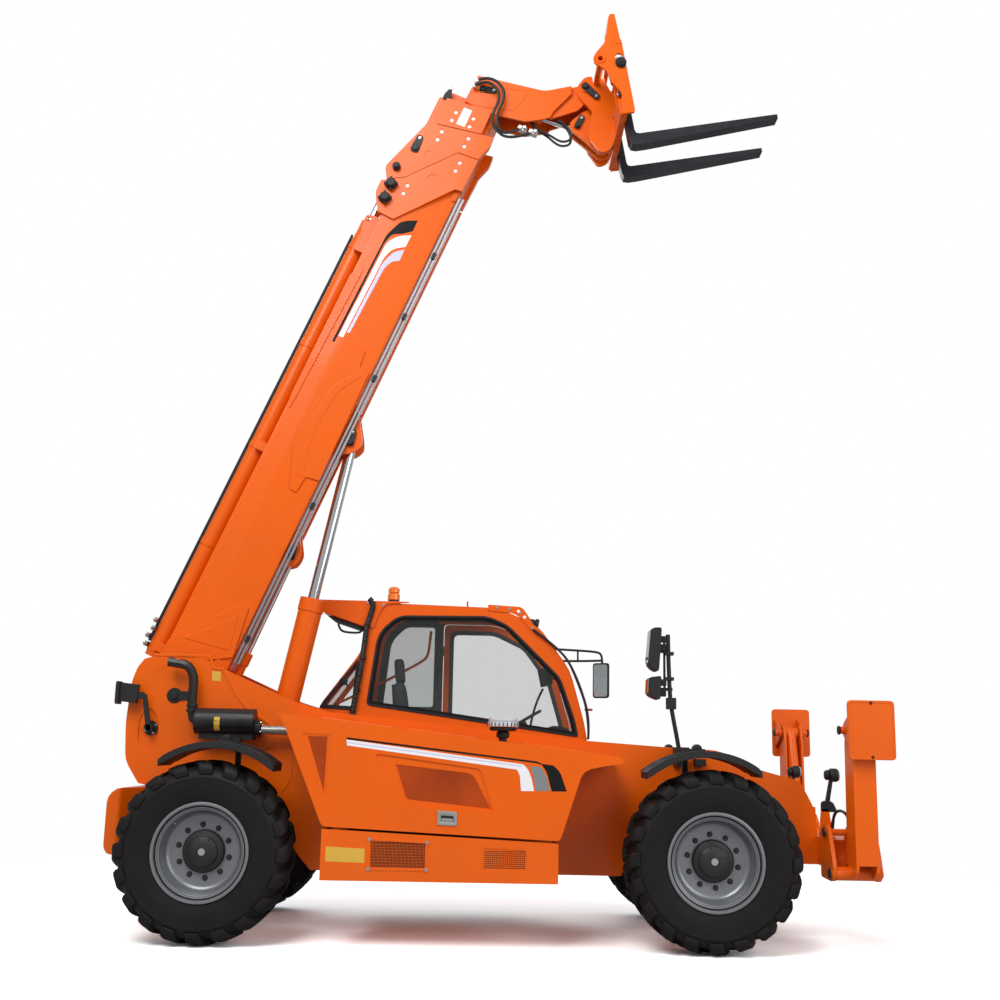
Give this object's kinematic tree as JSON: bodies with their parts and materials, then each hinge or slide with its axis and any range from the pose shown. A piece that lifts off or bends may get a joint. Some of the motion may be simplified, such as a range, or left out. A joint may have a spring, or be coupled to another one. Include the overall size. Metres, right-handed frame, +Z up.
{
  "type": "telehandler",
  "caption": "Rough-terrain telescopic handler with a raised multi-section boom, pallet forks, offset cab, side engine hood and swing-down front stabilisers.",
  "frame": {"origin": "on the ground under the middle of the machine's box", "axes": "+X forward, towards the forks; +Y to the machine's left; +Z up"},
  "size_m": [5.9834, 2.59, 7.8954],
  "materials": {
    "orange_paint": "gloss orange paint",
    "black_paint": "satin black paint",
    "cast": "black painted castings",
    "tyre": "block tread rubber",
    "rim": "silver grey paint",
    "rod": "polished",
    "fork": "dark oiled steel",
    "glass": "clear, slightly green",
    "upholstery": "woven black cloth",
    "trim": "grained"
  },
  "bodies": {
    "chassis": {"main_frame": "orange_paint", "counterweight": "orange_paint", "front_beam": "orange_paint", "engine_block": "cast", "front_axle": "cast", "rear_axle": "cast", "cab_shell": "orange_paint", "cab_right_window": "glass", "cab_quarter_window": "glass", "cab_windscreen": "glass", "cab_rear_window": "glass", "cab_right_rear_window": "glass", "cab_left_rear_window": "glass", "seat": "upholstery", "console": "trim", "lower_panel": "orange_paint", "exhaust": "black_paint", "right_mirrors": "black_paint", "left_mirror": "black_paint", "fuel_tank": "black_paint"},
    "cab_door": {"cab_door": "orange_paint", "cab_door_glass": "glass"},
    "engine_hood": {"engine_hood": "orange_paint"},
    "boom_outer": {"boom_outer": "orange_paint", "extension_barrel": "orange_paint"},
    "boom_second": {"boom_second": "orange_paint", "extension_rod": "rod"},
    "boom_third": {"boom_third": "orange_paint"},
    "boom_head": {"boom_head": "orange_paint"},
    "carriage": {"coupler": "orange_paint", "fork_carriage": "orange_paint", "fork_left": "fork", "fork_right": "fork"},
    "knuckle_front_right": {"knuckle_front_right": "cast"},
    "wheel_front_right": {"tyre_front_right": "tyre", "rim_front_right": "rim"},
    "knuckle_front_left": {"knuckle_front_left": "cast"},
    "wheel_front_left": {"tyre_front_left": "tyre", "rim_front_left": "rim"},
    "knuckle_rear_right": {"knuckle_rear_right": "cast"},
    "wheel_rear_right": {"tyre_rear_right": "tyre", "rim_rear_right": "rim"},
    "knuckle_rear_left": {"knuckle_rear_left": "cast"},
    "wheel_rear_left": {"tyre_rear_left": "tyre", "rim_rear_left": "rim"},
    "lift_barrel": {"lift_barrel": "orange_paint"},
    "lift_rod": {"lift_rod": "rod"},
    "levelling_barrel": {"levelling_barrel": "orange_paint"},
    "levelling_rod": {"levelling_rod": "rod"},
    "tilt_barrel": {"tilt_barrel": "orange_paint"},
    "tilt_rod": {"tilt_rod": "rod"},
    "stabiliser_leg_right": {"stabiliser_leg_right": "orange_paint"},
    "stabiliser_foot_right": {"stabiliser_foot_right": "orange_paint"},
    "stabiliser_right_ram_barrel": {"stabiliser_right_ram_barrel": "orange_paint"},
    "stabiliser_right_ram_rod": {"stabiliser_right_ram_rod": "rod"},
    "stabiliser_leg_left": {"stabiliser_leg_left": "orange_paint"},
    "stabiliser_foot_left": {"stabiliser_foot_left": "orange_paint"},
    "stabiliser_left_ram_barrel": {"stabiliser_left_ram_barrel": "orange_paint"},
    "stabiliser_left_ram_rod": {"stabiliser_left_ram_rod": "rod"}
  },
  "joints": [
    {"name": "front_left_steer", "type": "hinge", "parent": "chassis", "child": "knuckle_front_left", "pos_m": [1.65774, 0.685, 0.662], "axis": [0, 0, 1], "range_deg": [-30, 30]},
    {"name": "front_left_spin", "type": "hinge", "parent": "knuckle_front_left", "child": "wheel_front_left", "pos_m": [1.65774, 0.9325, 0.662], "axis": [0, 1, 0], "continuous": true},
    {"name": "front_right_steer", "type": "hinge", "parent": "chassis", "child": "knuckle_front_right", "pos_m": [1.65774, -0.795, 0.662], "axis": [0, 0, 1], "range_deg": [-30, 30]},
    {"name": "front_right_spin", "type": "hinge", "parent": "knuckle_front_right", "child": "wheel_front_right", "pos_m": [1.65774, -1.0425, 0.662], "axis": [0, 1, 0], "continuous": true},
    {"name": "rear_left_steer", "type": "hinge", "parent": "chassis", "child": "knuckle_rear_left", "pos_m": [-2.10826, 0.685, 0.662], "axis": [0, 0, 1], "range_deg": [-30, 30]},
    {"name": "rear_left_spin", "type": "hinge", "parent": "knuckle_rear_left", "child": "wheel_rear_left", "pos_m": [-2.10826, 0.9325, 0.662], "axis": [0, 1, 0], "continuous": true},
    {"name": "rear_right_steer", "type": "hinge", "parent": "chassis", "child": "knuckle_rear_right", "pos_m": [-2.10826, -0.795, 0.662], "axis": [0, 0, 1], "range_deg": [-30, 30]},
    {"name": "rear_right_spin", "type": "hinge", "parent": "knuckle_rear_right", "child": "wheel_rear_right", "pos_m": [-2.10826, -1.0425, 0.662], "axis": [0, 1, 0], "continuous": true},
    {"name": "boom_lift", "type": "hinge", "parent": "chassis", "child": "boom_outer", "pos_m": [-2.57126, -0.055, 1.814], "axis": [0, -1, 0], "range_deg": [-67.1, 2]},
    {"name": "lift_barrel_swing", "type": "hinge", "parent": "chassis", "child": "lift_barrel", "pos_m": [-1.87826, -0.055, 0.985], "axis": [0, -1, 0], "range_deg": [-63.5, 1.9]},
    {"name": "lift_rod_slide", "type": "slide", "parent": "lift_barrel", "child": "lift_rod", "axis": [0.1964, 0, 0.9805], "range_m": [-1.1865, 0.0355]},
    {"name": "levelling_barrel_swing", "type": "hinge", "parent": "chassis", "child": "levelling_barrel", "pos_m": [-2.38326, -0.055, 1.425], "axis": [0, -1, 0], "range_deg": [-63.5, 1.9]},
    {"name": "levelling_rod_slide", "type": "slide", "parent": "levelling_barrel", "child": "levelling_rod", "axis": [0.3808, 0, 0.9247], "range_m": [-0.4557, 0.0137]},
    {"name": "boom_extend", "type": "slide", "parent": "boom_outer", "child": "boom_second", "axis": [0.3891, 0, 0.9212], "range_m": [0, 3.6]},
    {"name": "third_section_slide", "type": "slide", "parent": "boom_second", "child": "boom_third", "axis": [0.3891, 0, 0.9212], "range_m": [0, 3.6]},
    {"name": "head_section_slide", "type": "slide", "parent": "boom_third", "child": "boom_head", "axis": [0.3891, 0, 0.9212], "range_m": [0, 3.6]},
    {"name": "carriage_tilt", "type": "hinge", "parent": "boom_head", "child": "carriage", "pos_m": [0.7362, -0.055, 7.39266], "axis": [0, -1, 0], "range_deg": [-20, 75]},
    {"name": "tilt_barrel_swing", "type": "hinge", "parent": "boom_head", "child": "tilt_barrel", "pos_m": [-0.19707, -0.055, 7.35484], "axis": [0, -1, 0], "range_deg": [-2.8, 10.5]},
    {"name": "tilt_rod_slide", "type": "slide", "parent": "tilt_barrel", "child": "tilt_rod", "axis": [0.9467, 0, -0.322], "range_m": [-0.0982, 0.3677]},
    {"name": "stabiliser_right_swing", "type": "hinge", "parent": "chassis", "child": "stabiliser_leg_right", "pos_m": [2.77674, -1.045, 0.585], "axis": [1, 0, 0], "range_deg": [0, 108]},
    {"name": "stabiliser_right_foot_tilt", "type": "hinge", "parent": "stabiliser_leg_right", "child": "stabiliser_foot_right", "pos_m": [2.77674, -1.115, 1.635], "axis": [-1, 0, 0], "range_deg": [0, 40]},
    {"name": "stabiliser_right_ram_swing", "type": "hinge", "parent": "stabiliser_leg_right", "child": "stabiliser_right_ram_barrel", "pos_m": [2.77674, -1.115, 1.635], "axis": [-1, 0, 0], "range_deg": [-3.1, 0]},
    {"name": "stabiliser_right_ram_slide", "type": "slide", "parent": "stabiliser_right_ram_barrel", "child": "stabiliser_right_ram_rod", "axis": [0, 0.2545, -0.9671], "range_m": [-0.0001, 0.5136]},
    {"name": "stabiliser_left_swing", "type": "hinge", "parent": "chassis", "child": "stabiliser_leg_left", "pos_m": [2.77674, 0.935, 0.585], "axis": [-1, 0, 0], "range_deg": [0, 108]},
    {"name": "stabiliser_left_foot_tilt", "type": "hinge", "parent": "stabiliser_leg_left", "child": "stabiliser_foot_left", "pos_m": [2.77674, 1.005, 1.635], "axis": [1, 0, 0], "range_deg": [0, 40]},
    {"name": "stabiliser_left_ram_swing", "type": "hinge", "parent": "stabiliser_leg_left", "child": "stabiliser_left_ram_barrel", "pos_m": [2.77674, 1.005, 1.635], "axis": [1, 0, 0], "range_deg": [-3.1, 0]},
    {"name": "stabiliser_left_ram_slide", "type": "slide", "parent": "stabiliser_left_ram_barrel", "child": "stabiliser_left_ram_rod", "axis": [0, -0.2545, -0.9671], "range_m": [-0.0001, 0.5136]},
    {"name": "cab_door_hinge", "type": "hinge", "parent": "chassis", "child": "cab_door", "pos_m": [-0.46326, 1.1553, 1.535], "axis": [0, 0, 1], "range_deg": [0, 88]},
    {"name": "engine_hood_hinge", "type": "hinge", "parent": "chassis", "child": "engine_hood", "pos_m": [-0.30826, -0.445, 1.529], "axis": [-0.9946, 0, 0.104], "range_deg": [0, 65]}
  ],
  "couplings": [
    {"joint": "front_right_steer", "follows": "front_left_steer", "ratio": 1},
    {"joint": "rear_right_steer", "follows": "rear_left_steer", "ratio": 1},
    {"joint": "lift_barrel_swing", "follows": "boom_lift", "ratio": 0.945},
    {"joint": "lift_rod_slide", "follows": "boom_lift", "m_per_rad": 1.013},
    {"joint": "levelling_barrel_swing", "follows": "boom_lift", "ratio": 0.9453},
    {"joint": "levelling_rod_slide", "follows": "boom_lift", "m_per_rad": 0.389},
    {"joint": "third_section_slide", "follows": "boom_extend", "ratio": 1},
    {"joint": "head_section_slide", "follows": "boom_extend", "ratio": 1},
    {"joint": "tilt_barrel_swing", "follows": "carriage_tilt", "ratio": 0.139},
    {"joint": "tilt_rod_slide", "follows": "carriage_tilt", "m_per_rad": 0.2808},
    {"joint": "stabiliser_right_ram_swing", "follows": "stabiliser_right_swing", "ratio": -0.028},
    {"joint": "stabiliser_right_ram_slide", "follows": "stabiliser_right_swing", "m_per_rad": 0.2724},
    {"joint": "stabiliser_left_ram_swing", "follows": "stabiliser_left_swing", "ratio": -0.028},
    {"joint": "stabiliser_left_ram_slide", "follows": "stabiliser_left_swing", "m_per_rad": 0.2724}
  ]
}
